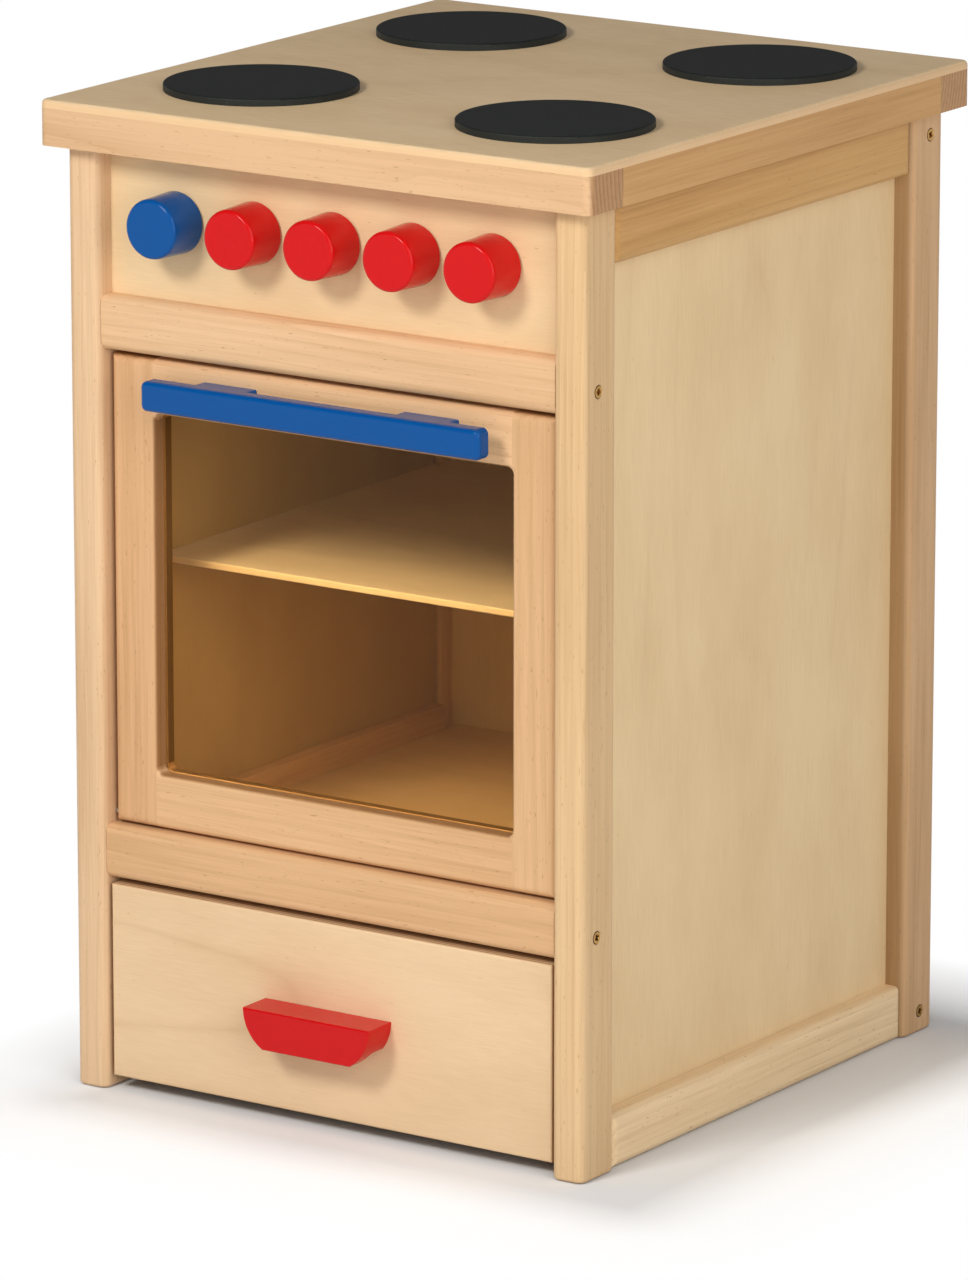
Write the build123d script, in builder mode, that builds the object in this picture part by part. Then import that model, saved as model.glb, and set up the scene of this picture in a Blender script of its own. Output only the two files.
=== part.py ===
"""Wooden toy oven: a drop-down door, a drawer, five turning knobs and four hob plates."""

import os

from build123d import *

os.makedirs("parts", exist_ok=True)

# Millimetres. +X is to the right of a child who stands in front of the oven, +Y is to its back and
# +Z is up. The origin is on the floor, under the middle of the whole toy, handles included.

# --- Driving dimensions -------------------------------------------------------------------------

# Cabinet
cabinet_width = 332.5  # over the outer faces of the posts
cabinet_depth = 358.5  # over the front and rear faces of the posts
worktop_height = 550.0  # floor to the upper face of the worktop
post_width = 20.0
post_depth = 32.0
post_rounding = 5.0
foot_rounding = 2.0
rail_thickness = 20.0
rail_height = 30.0
top_rail_height = 34.0  # side and rear rails under the worktop
rail_recess = 3.0  # outer faces of the front and rear rails behind those of the posts
side_rail_recess = 1.2
side_rail_thickness = 21.8
rail_rounding = 5.0
sheet_thickness = 4.0  # plywood of the sides, back, oven floor, shelf and drawer bottom
side_panel_recess = 12.0  # behind the outer faces of the posts
back_panel_recess = 15.5
groove_depth = 5.0
groove_play = 0.1
tenon_shoulder = 6.0  # from the foot of a post up to its groove

# Front
control_height = 80.7  # opening for the control panel, between its rail and the worktop
control_thickness = 6.0
control_recess = 13.0
middle_rail_bottom = 120.0

# Worktop
worktop_sheet = 4.5
worktop_board_height = 20.5
worktop_board_width = 31.5
worktop_front_overhang = 10.6
worktop_rear_overhang = 10.7
worktop_side_overhang = 10.1
worktop_corner = 5.0
worktop_arris = 2.5
plate_diameter = 106.0
plate_thickness = 4.0
plate_arris = 1.0
plate_pitch_x = 189.5
plate_pitch_y = 201.5
plate_shift_y = 2.0  # the four plates stand a little behind the middle of the cabinet

# Oven compartment
floor_rise = 15.0  # its upper face above the lower edge of the middle rail
floor_batten_width = 16.0
floor_batten_drop = 16.0  # below the oven floor
floor_lip_height = 14.0  # above the oven floor, along each side panel
floor_lip_stand = 4.25  # lips inside the inner faces of the posts
shelf_rise = 155.0  # its upper face above that of the oven floor
shelf_setback = 60.0  # its front edge behind the posts' front faces
shelf_rounding = 1.0
shelf_batten_width = 10.0
shelf_batten_height = 12.0
shelf_batten_setback = 45.0  # behind the front edge of the shelf
fitting_play = 0.25

# Door
door_recess = 8.0
door_thickness = 18.0
door_side_gap = 2.25
door_gap_below = 1.2
door_gap_above = 2.7
door_rounding = 4.5
stile_width = 28.0
window_rounding = 2.5
window_corner = 4.0
pane_thickness = 3.0
pane_setback = 9.5  # behind the door's front face
pane_groove = 7.0
door_tenon_shoulder = 5.0
hinge_pin_diameter = 4.0
hinge_pin_play = 0.05
hinge_height = 4.5  # axis above the door's lower edge
hinge_rest_clearance = 0.2  # open door above the middle rail, which it comes to rest on
pin_in_post = 12.0
pin_in_door = 16.0
pin_end_play = 0.5

# Door handle
handle_length = 218.5
handle_height = 16.5
handle_thickness = 9.0
handle_corner = 3.5
handle_rounding = 2.5
handle_centre_above_window = 14.5
standoff_length = 35.5
standoff_height = 14.5
standoff_depth = 12.0
standoff_pitch = 130.0
standoff_rounding = 1.5

# Door catch
catch_width = 36.0
catch_thickness = 8.5
catch_lap = 24.0  # up the back of the rail over the door
catch_drop = 14.0  # below that rail
catch_step = 1.0  # its part under the rail starts this far above the rail's lower edge
catch_rounding = 2.0
strike_width = 24.0
strike_height = 10.0
strike_thickness = 1.2
strike_corner = 1.5
strike_drop = 2.0  # below the door's upper edge
catch_gap = 0.3

# Knobs
knob_base_diameter = 34.2
knob_front_diameter = 32.4
knob_length = 25.0
knob_front_rounding = 2.2
knob_base_rounding = 1.0
knob_pitch = 51.0
knob_rise = 43.0  # axes above the rail under the control panel
knob_gap = 0.5
knob_names = ["oven_knob", "hob_knob_1", "hob_knob_2", "hob_knob_3", "hob_knob_4"]

# Drawer
drawer_recess = 4.0
drawer_front_thickness = 12.0
drawer_gap_below = 7.5
drawer_gap_above = 3.5
drawer_arris = 1.2
drawer_wall = 8.0
drawer_side_gap = 1.75  # to the lower side rails
drawer_side_clearance = 1.7  # sides under the stops
drawer_back_clearance = 2.2  # back under the floor battens, so that it meets the stops
drawer_floor_rise = 6.5  # drawer bottom above the lower edges of its sides
drawer_groove = 4.0
drawer_rear_gap = 0.5  # closed drawer to the rear rail, which stops it
drawer_travel = 200.0
runner_width = 13.75
runner_height = 8.0
runner_rise = 12.0
runner_play = 0.3
stop_length = 12.0
stop_height = 6.5
stop_play = 0.3

# Drawer handle
grip_top_width = 82.4
grip_bottom_width = 57.0
grip_height = 22.0
grip_depth = 22.0
grip_side_radius = 25.4
grip_cove_depth = 12.0
grip_cove_height = 6.3
grip_cove_rounding = 3.0
grip_arris = 1.0
grip_centre_z = 57.5
grip_screw_pitch = 40.0
grip_screw_rise = 4.0  # above the middle of the handle

# Screws
frame_screw_head = 8.2
frame_screw_shank = 3.6
frame_screw_length = 42.0
countersink_angle = 90
front_screw_setback = 14.0
rear_screw_setback = 14.0
front_screw_rise = 13.0  # above the lower edge of the rail that it holds
rear_top_screw_rise = 20.0
rear_bottom_screw_rise = 12.0
round_head_diameter = 7.5
round_head_height = 2.2
round_head_rounding = 1.32
small_shank = 3.6
screw_bore_play = 0.1
knob_screw_bite = 15.0  # length of the screw inside the knob
knob_screw_head_gap = 0.2  # under its head, so that the knob turns freely
handle_screw_bite = 6.0
handle_head_sink = 3.0
grip_screw_bite = 14.0
cross_length = 4.4
cross_width = 0.9
cross_depth = 1.4
screw_point = 4.0

# --- Derived places -----------------------------------------------------------------------------

handle_reach = standoff_depth + handle_thickness
front_reach = max(
    grip_depth - drawer_recess,
    handle_reach - door_recess,
    knob_length + knob_gap - control_recess,
    worktop_front_overhang,
)
front_y = (front_reach - worktop_rear_overhang - cabinet_depth) / 2
back_y = front_y + cabinet_depth
outer_x = cabinet_width / 2
opening_x = outer_x - post_width  # inner faces of the posts
worktop_bottom = worktop_height - worktop_sheet - worktop_board_height

rail_outer_x = outer_x - side_rail_recess
rail_inner_x = rail_outer_x - side_rail_thickness
panel_outer_x = outer_x - side_panel_recess
panel_inner_x = panel_outer_x - sheet_thickness
side_front_y = front_y + post_depth  # the side rails run from here
side_rear_y = back_y - post_depth  # to here
side_top_z = worktop_bottom - top_rail_height

front_rail_y = (front_y + rail_recess, front_y + rail_recess + rail_thickness)
rear_rail_y = (back_y - rail_recess - rail_thickness, back_y - rail_recess)
back_panel_y = (back_y - back_panel_recess - sheet_thickness, back_y - back_panel_recess)
control_y = (front_y + control_recess, front_y + control_recess + control_thickness)
middle_rail_top = middle_rail_bottom + rail_height
floor_top = middle_rail_bottom + floor_rise
shelf_top = floor_top + shelf_rise
batten_bottom = floor_top - sheet_thickness - floor_batten_drop
control_rail_top = worktop_bottom - control_height
control_rail_bottom = control_rail_top - rail_height

door_half = opening_x - door_side_gap
door_bottom = middle_rail_top + door_gap_below
door_top = control_rail_bottom - door_gap_above
door_front_y = front_y + door_recess
door_rear_y = door_front_y + door_thickness
window_half = door_half - stile_width
window_bottom = door_bottom + rail_height
window_top = door_top - rail_height
pane_y = (door_front_y + pane_setback, door_front_y + pane_setback + pane_thickness)
hinge_y = door_front_y + hinge_height + door_gap_below - hinge_rest_clearance
hinge_z = door_bottom + hinge_height
handle_z = window_top + handle_centre_above_window

drawer_front_y = front_y + drawer_recess
drawer_box_y = drawer_front_y + drawer_front_thickness
drawer_rear_y = rear_rail_y[0] - drawer_rear_gap
drawer_half = rail_inner_x - drawer_side_gap
drawer_inner_x = drawer_half - drawer_wall
drawer_side_bottom = runner_rise + runner_height + runner_play
drawer_side_top = batten_bottom - stop_height - drawer_side_clearance
drawer_back_top = batten_bottom - drawer_back_clearance
drawer_floor_z = drawer_side_bottom + drawer_floor_rise
drawer_back_y = drawer_rear_y - drawer_wall

knob_z = control_rail_top + knob_rise
knob_back_y = control_y[0] - knob_gap
knob_front_y = knob_back_y - knob_length


# --- Tools for boxes, bores and files -----------------------------------------------------------


class Block:
    """A box-shaped space, given by its lowest and highest x, y and z."""

    def __init__(self, x, y, z):
        self.x, self.y, self.z = x, y, z

    @property
    def size(self):
        return tuple(high - low for low, high in (self.x, self.y, self.z))

    @property
    def centre(self):
        return tuple((low + high) / 2 for low, high in (self.x, self.y, self.z))

    def on_side(self, side):
        """The same space on the right (side 1) or, mirrored, on the left (side -1)."""
        if side > 0:
            return self
        return Block((-self.x[1], -self.x[0]), self.y, self.z)


def fill(block, mode=Mode.ADD):
    with Locations(block.centre):
        Box(*block.size, mode=mode)


def bore(start, direction, radius, depth):
    """A blind round hole from start, along direction."""
    with BuildSketch(Plane(origin=start, z_dir=direction)) as mouth:
        Circle(radius)
    extrude(mouth.sketch, amount=depth, mode=Mode.SUBTRACT)


def save(builder, node):
    builder.part.label = node
    export_step(builder.part, f"parts/{node}.step")


def widened(span, play):
    return (span[0] - play, span[1] + play)


def side_name(side):
    return "right" if side > 0 else "left"


SIDES = (-1, 1)


# --- Frame screws -------------------------------------------------------------------------------


def screw(shank_radius, length, head_radius, head_height=None):
    """A wood screw, its head's upper face at z = 0 and its point down; countersunk with no height."""
    with BuildPart() as made:
        with BuildSketch(Plane.XZ):
            with BuildLine():
                if head_height is None:
                    Polyline((head_radius, 0), (shank_radius, shank_radius - head_radius))
                else:
                    Polyline(
                        (head_radius, 0), (head_radius, -head_height), (shank_radius, -head_height)
                    )
                neck = (shank_radius, -(head_height or head_radius - shank_radius))
                Polyline(
                    neck, (shank_radius, screw_point - length), (0, -length), (0, 0), (head_radius, 0)
                )
            make_face()
        revolve(axis=Axis.Z)
        if head_height is not None:
            fillet(made.faces().sort_by(Axis.Z)[-1].edges(), round_head_rounding)
        with BuildSketch(Plane.XY):
            Rectangle(cross_length, cross_width)
            Rectangle(cross_width, cross_length)
        extrude(amount=-cross_depth, mode=Mode.SUBTRACT)
    return made.part


def frame_screw_places(side):
    """Head centres in one side's posts: middle and control rails, then the two rear rails."""
    front = front_y + front_screw_setback
    rear = back_y - rear_screw_setback
    return [
        (side * outer_x, front, middle_rail_bottom + front_screw_rise),
        (side * outer_x, front, control_rail_bottom + front_screw_rise),
        (side * outer_x, rear, side_top_z + rear_top_screw_rise),
        (side * outer_x, rear, rear_bottom_screw_rise),
    ]


frame_screw = screw(frame_screw_shank / 2, frame_screw_length, frame_screw_head / 2)
with BuildPart() as frame_screws:
    for side in SIDES:
        for place in frame_screw_places(side):
            with Locations(Plane(origin=place, z_dir=(side, 0, 0))):
                add(frame_screw)
save(frame_screws, "frame_screws")

# --- Posts --------------------------------------------------------------------------------------

side_groove = Block(
    widened((panel_inner_x, panel_outer_x), groove_play),
    (side_front_y - groove_depth, side_rear_y + groove_depth),
    (tenon_shoulder, worktop_bottom),
)
back_groove = Block(
    (-opening_x - groove_depth, opening_x + groove_depth),
    widened(back_panel_y, groove_play),
    (rail_height - groove_depth, side_top_z + groove_depth),
)
control_groove = Block(
    back_groove.x,
    widened(control_y, groove_play),
    (control_rail_top - groove_depth, worktop_bottom),
)


def post(side, y_span, groove):
    """A corner post: grooved for the side frame and for one panel, and bored for its screws."""
    with BuildPart() as made:
        fill(Block((opening_x, outer_x), y_span, (0, worktop_bottom)).on_side(side))
        fillet(made.edges().filter_by(Axis.Z), post_rounding)
        fillet(made.faces().sort_by(Axis.Z)[0].edges(), foot_rounding)
        fill(side_groove.on_side(side), Mode.SUBTRACT)
        fill(groove, Mode.SUBTRACT)
        for place in frame_screw_places(side):
            if y_span[0] < place[1] < y_span[1]:
                with Locations(Plane(origin=place, z_dir=(side, 0, 0))):
                    CounterSinkHole(
                        frame_screw_shank / 2, frame_screw_head / 2, post_width, countersink_angle
                    )
        if y_span[0] < hinge_y < y_span[1]:
            mouth = (side * opening_x, hinge_y, hinge_z)
            bore(mouth, (side, 0, 0), hinge_pin_diameter / 2, pin_in_post)
    return made


for side in SIDES:
    save(post(side, (front_y, side_front_y), control_groove), f"post_front_{side_name(side)}")
    save(post(side, (side_rear_y, back_y), back_groove), f"post_rear_{side_name(side)}")

# --- Rails --------------------------------------------------------------------------------------


def side_rail(side, z_span, panel_above):
    """A rail of a side frame, with stub tenons in the posts and a groove for the side panel."""
    low, high = z_span
    tenon_z = (max(low, tenon_shoulder), high - groove_depth)
    groove_z = (high - groove_depth, high)
    if not panel_above:
        tenon_z = (low + groove_depth, high)
        groove_z = (low, low + groove_depth)
    with BuildPart() as made:
        fill(Block((rail_inner_x, rail_outer_x), (side_front_y, side_rear_y), z_span).on_side(side))
        outer = made.faces().sort_by(Axis.X)[-1 if side > 0 else 0]
        fillet(outer.edges(), rail_rounding)
        groove = Block(side_groove.x, side_groove.y, groove_z)
        fill(groove.on_side(side), Mode.SUBTRACT)
        for y_span in (
            (side_groove.y[0], side_front_y),
            (side_rear_y, side_groove.y[1]),
        ):
            fill(Block((panel_inner_x, panel_outer_x), y_span, tenon_z).on_side(side))
    return made


for side in SIDES:
    bottom_rail = side_rail(side, (0, rail_height), True)
    save(bottom_rail, f"side_bottom_rail_{side_name(side)}")
    top_rail = side_rail(side, (side_top_z, worktop_bottom), False)
    save(top_rail, f"side_top_rail_{side_name(side)}")


def cross_rail(y_span, z_span, outer_face, groove=None):
    """A rail between the side frames; outer_face is 0 for a front rail and -1 for a rear one."""
    with BuildPart() as made:
        fill(Block((-opening_x, opening_x), y_span, z_span))
        outer = made.faces().sort_by(Axis.Y)[outer_face]
        fillet(outer.edges().filter_by(Axis.X), rail_rounding)
        if groove is not None:
            fill(groove, Mode.SUBTRACT)
        for side in SIDES:
            for x, y, z in frame_screw_places(side):
                if y_span[0] < y < y_span[1] and z_span[0] < z < z_span[1]:
                    depth = frame_screw_length - post_width
                    bore((side * opening_x, y, z), (-side, 0, 0), frame_screw_shank / 2, depth)
    return made


middle_rail = cross_rail(front_rail_y, (middle_rail_bottom, middle_rail_top), 0)
save(middle_rail, "front_middle_rail")
control_rail = cross_rail(front_rail_y, (control_rail_bottom, control_rail_top), 0, control_groove)
save(control_rail, "front_top_rail")
rear_bottom_rail = cross_rail(rear_rail_y, (0, rail_height), -1, back_groove)
save(rear_bottom_rail, "rear_bottom_rail")
rear_top_rail = cross_rail(rear_rail_y, (side_top_z, worktop_bottom), -1, back_groove)
save(rear_top_rail, "rear_top_rail")

# --- Panels -------------------------------------------------------------------------------------

inset = groove_depth - groove_play  # how far a panel reaches into a groove
panel_z = (rail_height - inset, side_top_z + inset)

for side in SIDES:
    with BuildPart() as side_panel:
        span = (side_front_y - inset, side_rear_y + inset)
        fill(Block((panel_inner_x, panel_outer_x), span, panel_z).on_side(side))
    save(side_panel, f"side_panel_{side_name(side)}")

with BuildPart() as back_panel:
    fill(Block((-opening_x - inset, opening_x + inset), back_panel_y, panel_z))
save(back_panel, "back_panel")


def knob_x(number):
    return (number - (len(knob_names) - 1) / 2) * knob_pitch


with BuildPart() as control_panel:
    height = (control_rail_top - inset, worktop_bottom)
    fill(Block((-opening_x - inset, opening_x + inset), control_y, height))
    for number in range(len(knob_names)):
        start = (knob_x(number), control_y[0], knob_z)
        bore(start, (0, 1, 0), small_shank / 2 + screw_bore_play, control_thickness)
save(control_panel, "control_panel")

# --- Oven floor and shelf -----------------------------------------------------------------------

floor_rear_y = back_panel_y[0] - fitting_play
floor_lip_x = opening_x - floor_lip_stand

with BuildPart() as oven_floor:
    narrow = floor_lip_x - fitting_play  # between the lips
    wide = opening_x - fitting_play  # between the rear posts
    z_span = (floor_top - sheet_thickness, floor_top)
    fill(Block((-narrow, narrow), (front_rail_y[1], floor_rear_y), z_span))
    fill(Block((-wide, wide), (side_rear_y + fitting_play, floor_rear_y), z_span))
save(oven_floor, "oven_floor")

with BuildPart() as floor_battens:
    inner = panel_inner_x - floor_batten_width
    for side in SIDES:
        span = (side_front_y, side_rear_y)
        body_z = (batten_bottom, floor_top - sheet_thickness)
        lip_z = (body_z[1], floor_top + floor_lip_height)
        fill(Block((inner, panel_inner_x), span, body_z).on_side(side))
        fill(Block((floor_lip_x, panel_inner_x), span, lip_z).on_side(side))
save(floor_battens, "floor_battens")

shelf_front_y = front_y + shelf_setback
shelf_bottom = shelf_top - sheet_thickness

with BuildPart() as oven_shelf:
    wide = panel_inner_x - fitting_play
    narrow = opening_x - fitting_play
    shelf_z = (shelf_bottom, shelf_top)
    fill(Block((-wide, wide), (shelf_front_y, side_rear_y - fitting_play), shelf_z))
    fill(Block((-narrow, narrow), (shelf_front_y, floor_rear_y), shelf_z))
    front_edges = oven_shelf.faces().sort_by(Axis.Y)[0].edges()
    fillet(front_edges.filter_by(Axis.X), shelf_rounding)
save(oven_shelf, "oven_shelf")

with BuildPart() as shelf_battens:
    inner = panel_inner_x - shelf_batten_width
    for side in SIDES:
        batten_y = (shelf_front_y + shelf_batten_setback, side_rear_y)
        batten_z = (shelf_bottom - shelf_batten_height, shelf_bottom)
        fill(Block((inner, panel_inner_x), batten_y, batten_z).on_side(side))
save(shelf_battens, "shelf_battens")

# --- Worktop and hob plates ---------------------------------------------------------------------

worktop_half = outer_x + worktop_side_overhang
worktop_front_y = front_y - worktop_front_overhang
worktop_rear_y = back_y + worktop_rear_overhang
board_z = (worktop_bottom, worktop_bottom + worktop_board_height)


def end_board(y_span, outer_face):
    """The front or rear board of the worktop's frame, across its full width."""
    with BuildPart() as made:
        fill(Block((-worktop_half, worktop_half), y_span, board_z))
        outer = made.faces().sort_by(Axis.Y)[outer_face]
        fillet(outer.edges().filter_by(Axis.Z), worktop_corner)
    return made


board_front_y = worktop_front_y + worktop_board_width
board_rear_y = worktop_rear_y - worktop_board_width
save(end_board((worktop_front_y, board_front_y), 0), "worktop_front_board")
save(end_board((board_rear_y, worktop_rear_y), -1), "worktop_rear_board")

for side in SIDES:
    with BuildPart() as side_board:
        x_span = (worktop_half - worktop_board_width, worktop_half)
        fill(Block(x_span, (board_front_y, board_rear_y), board_z).on_side(side))
    save(side_board, f"worktop_side_board_{side_name(side)}")

with BuildPart() as worktop_top:
    z_span = (board_z[1], worktop_height)
    fill(Block((-worktop_half, worktop_half), (worktop_front_y, worktop_rear_y), z_span))
    fillet(worktop_top.edges().filter_by(Axis.Z), worktop_corner)
    fillet(worktop_top.faces().sort_by(Axis.Z)[-1].edges(), worktop_arris)
save(worktop_top, "worktop_sheet")

plate_middle_y = (front_y + back_y) / 2 + plate_shift_y
for row, y_side in (("front", -1), ("rear", 1)):
    for side in SIDES:
        x, y = side * plate_pitch_x / 2, plate_middle_y + y_side * plate_pitch_y / 2
        with BuildPart() as hob_plate:
            with BuildSketch(Plane(origin=(x, y, worktop_height))):
                Circle(plate_diameter / 2)
            extrude(amount=plate_thickness)
            fillet(hob_plate.faces().sort_by(Axis.Z)[-1].edges(), plate_arris)
        save(hob_plate, f"hob_plate_{row}_{side_name(side)}")

# --- Knobs --------------------------------------------------------------------------------------

for number, name in enumerate(knob_names):
    middle = Plane(origin=(knob_x(number), knob_back_y, knob_z), x_dir=(1, 0, 0), z_dir=(0, 0, 1))
    with BuildPart() as knob:
        with BuildSketch(middle):
            with BuildLine():
                base_corner = (knob_base_diameter / 2, 0)
                front_corner = (knob_front_diameter / 2, -knob_length)
                Polyline((0, 0), base_corner, front_corner, (0, -knob_length), close=True)
            make_face()
        revolve(axis=Axis(middle.origin, (0, 1, 0)))
        rims = knob.edges().filter_by(GeomType.CIRCLE).sort_by(Axis.Y)
        fillet(rims[0], knob_front_rounding)
        rims = knob.edges().filter_by(GeomType.CIRCLE).sort_by(Axis.Y)
        fillet(rims[-1], knob_base_rounding)
        bore((knob_x(number), knob_back_y, knob_z), (0, -1, 0), small_shank / 2, knob_screw_bite)
    save(knob, name)

    head_top_y = control_y[1] + knob_screw_head_gap + round_head_height
    reach = head_top_y - knob_back_y + knob_screw_bite
    with BuildPart() as knob_screw:
        with Locations(Plane(origin=(knob_x(number), head_top_y, knob_z), z_dir=(0, 1, 0))):
            add(screw(small_shank / 2, reach, round_head_diameter / 2, round_head_height))
    save(knob_screw, f"{name}_screw")

# --- Door ---------------------------------------------------------------------------------------

# The frame is rounded after it is glued up, so its four pieces are cut from one rounded whole.
with BuildPart() as door_frame:
    fill(Block((-door_half, door_half), (door_front_y, door_rear_y), (door_bottom, door_top)))
    fillet(door_frame.faces().sort_by(Axis.Y)[0].edges(), door_rounding)
    window_centre = (0, door_front_y, (window_bottom + window_top) / 2)
    with BuildSketch(Plane(origin=window_centre, x_dir=(1, 0, 0), z_dir=(0, -1, 0))):
        RectangleRounded(2 * window_half, window_top - window_bottom, window_corner)
    extrude(amount=-door_thickness, mode=Mode.SUBTRACT)
    front = door_frame.faces().sort_by(Axis.Y)[0]
    fillet(front.inner_wires().edges(), window_rounding)

pane_slot_y = widened(pane_y, groove_play)
window_middle = (window_bottom + window_top) / 2
tenon_low = door_bottom + door_tenon_shoulder
tenon_high = door_top - door_tenon_shoulder

for side in SIDES:
    with BuildPart() as stile:
        add(door_frame.part)
        kept = Block((window_half, door_half), (door_front_y, door_rear_y), (door_bottom, door_top))
        fill(kept.on_side(side), Mode.INTERSECT)
        slot = Block((window_half, window_half + pane_groove), pane_slot_y, (tenon_low, tenon_high))
        fill(slot.on_side(side), Mode.SUBTRACT)
        mouth = (side * door_half, hinge_y, hinge_z)
        pin_bore_radius = hinge_pin_diameter / 2 + hinge_pin_play
        bore(mouth, (-side, 0, 0), pin_bore_radius, pin_in_door + pin_end_play)
    save(stile, f"door_stile_{side_name(side)}")

for name, z_span, tenon_z in (
    ("door_bottom_rail", (door_bottom, window_middle), (tenon_low, window_bottom - pane_groove)),
    ("door_top_rail", (window_middle, door_top), (window_top + pane_groove, tenon_high)),
):
    with BuildPart() as door_rail:
        add(door_frame.part)
        kept = Block((-window_half, window_half), (door_front_y, door_rear_y), z_span)
        fill(kept, Mode.INTERSECT)
        slot_z = (window_bottom - pane_groove, window_top + pane_groove)
        fill(Block((-window_half, window_half), pane_slot_y, slot_z), Mode.SUBTRACT)
        for side in SIDES:
            tenon = Block((window_half, window_half + pane_groove), pane_slot_y, tenon_z)
            fill(tenon.on_side(side))
            if name == "door_top_rail":
                start = (side * standoff_pitch / 2, door_rear_y, handle_z)
                bore(start, (0, -1, 0), small_shank / 2 + screw_bore_play, door_thickness)
                bore(start, (0, -1, 0), round_head_diameter / 2 + screw_bore_play, handle_head_sink)
    save(door_rail, name)

with BuildPart() as door_pane:
    reach = pane_groove - groove_play
    z_span = (window_bottom - reach, window_top + reach)
    fill(Block((-window_half - reach, window_half + reach), pane_y, z_span))
save(door_pane, "door_pane")

with BuildPart() as hinge_pins:
    for side in SIDES:
        mouth = (side * (opening_x + pin_in_post), hinge_y, hinge_z)
        with BuildSketch(Plane(origin=mouth, z_dir=(-side, 0, 0))):
            Circle(hinge_pin_diameter / 2)
        extrude(amount=pin_in_post + door_side_gap + pin_in_door)
save(hinge_pins, "hinge_pins")

# --- Door handle --------------------------------------------------------------------------------

bar_rear_y = door_front_y - standoff_depth

with BuildPart() as door_handle:
    bar_plane = Plane(origin=(0, bar_rear_y, handle_z), x_dir=(1, 0, 0), z_dir=(0, -1, 0))
    with BuildSketch(bar_plane):
        RectangleRounded(handle_length, handle_height, handle_corner)
    extrude(amount=handle_thickness)
    fillet(door_handle.faces().sort_by(Axis.Y)[0].edges(), handle_rounding)
    for side in SIDES:
        start = (side * standoff_pitch / 2, bar_rear_y, handle_z)
        bore(start, (0, -1, 0), small_shank / 2, handle_screw_bite)
save(door_handle, "door_handle")

with BuildPart() as standoffs:
    half_height = standoff_height / 2
    for side in SIDES:
        middle = side * standoff_pitch / 2
        x_span = (middle - standoff_length / 2, middle + standoff_length / 2)
        z_span = (handle_z - half_height, handle_z + half_height)
        fill(Block(x_span, (bar_rear_y, door_front_y), z_span))
    fillet(standoffs.edges().filter_by(Axis.Y), standoff_rounding)
    for side in SIDES:
        start = (side * standoff_pitch / 2, door_front_y, handle_z)
        bore(start, (0, -1, 0), small_shank / 2 + screw_bore_play, standoff_depth)
save(standoffs, "door_handle_blocks")

with BuildPart() as handle_screws:
    seat_y = door_rear_y - handle_head_sink
    reach = seat_y - bar_rear_y + handle_screw_bite + round_head_height
    handle_screw = screw(small_shank / 2, reach, round_head_diameter / 2, round_head_height)
    for side in SIDES:
        top = (side * standoff_pitch / 2, seat_y + round_head_height, handle_z)
        with Locations(Plane(origin=top, z_dir=(0, 1, 0))):
            add(handle_screw)
save(handle_screws, "door_handle_screws")

# --- Door catch ---------------------------------------------------------------------------------

strike_top = door_top - strike_drop
with BuildPart() as strike_plate:
    z_span = (strike_top - strike_height, strike_top)
    y_span = (door_rear_y, door_rear_y + strike_thickness)
    fill(Block((-strike_width / 2, strike_width / 2), y_span, z_span))
    fillet(strike_plate.edges().filter_by(Axis.Y), strike_corner)
save(strike_plate, "strike_plate")

catch_face_y = door_rear_y + strike_thickness + catch_gap
catch_rear_y = catch_face_y + catch_thickness
with BuildPart() as magnet_catch:
    with BuildSketch(Plane.YZ.offset(-catch_width / 2)):
        Polygon(
            (front_rail_y[1], control_rail_bottom + catch_lap),
            (front_rail_y[1], control_rail_bottom + catch_step),
            (catch_face_y, control_rail_bottom + catch_step),
            (catch_face_y, control_rail_bottom - catch_drop),
            (catch_rear_y, control_rail_bottom - catch_drop),
            (catch_rear_y, control_rail_bottom + catch_lap),
            align=None,
        )
    extrude(amount=catch_width)
    fillet(magnet_catch.edges().filter_by(Axis.X).group_by(Axis.Y)[-1], catch_rounding)
save(magnet_catch, "magnet_catch")

# --- Drawer -------------------------------------------------------------------------------------

drawer_top = middle_rail_bottom - drawer_gap_above
bottom_slot_z = widened((drawer_floor_z, drawer_floor_z + sheet_thickness), groove_play)
bottom_slot = Block(
    (-drawer_inner_x - drawer_groove, drawer_inner_x + drawer_groove),
    (drawer_box_y - drawer_groove, drawer_back_y + drawer_groove),
    bottom_slot_z,
)
grip_screw_z = grip_centre_z + grip_screw_rise

with BuildPart() as drawer_front:
    z_span = (drawer_gap_below, drawer_top)
    fill(Block((-door_half, door_half), (drawer_front_y, drawer_box_y), z_span))
    fillet(drawer_front.faces().sort_by(Axis.Y)[0].edges(), drawer_arris)
    fill(bottom_slot, Mode.SUBTRACT)
    for side in SIDES:
        start = (side * grip_screw_pitch / 2, drawer_box_y, grip_screw_z)
        bore(start, (0, -1, 0), small_shank / 2 + screw_bore_play, drawer_front_thickness)
save(drawer_front, "drawer_front")

for side in SIDES:
    with BuildPart() as drawer_side:
        z_span = (drawer_side_bottom, drawer_side_top)
        wall = Block((drawer_inner_x, drawer_half), (drawer_box_y, drawer_back_y), z_span)
        fill(wall.on_side(side))
        fill(bottom_slot, Mode.SUBTRACT)
    save(drawer_side, f"drawer_side_{side_name(side)}")

with BuildPart() as drawer_back:
    z_span = (drawer_side_bottom, drawer_back_top)
    fill(Block((-drawer_half, drawer_half), (drawer_back_y, drawer_rear_y), z_span))
    fill(bottom_slot, Mode.SUBTRACT)
save(drawer_back, "drawer_back")

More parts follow.
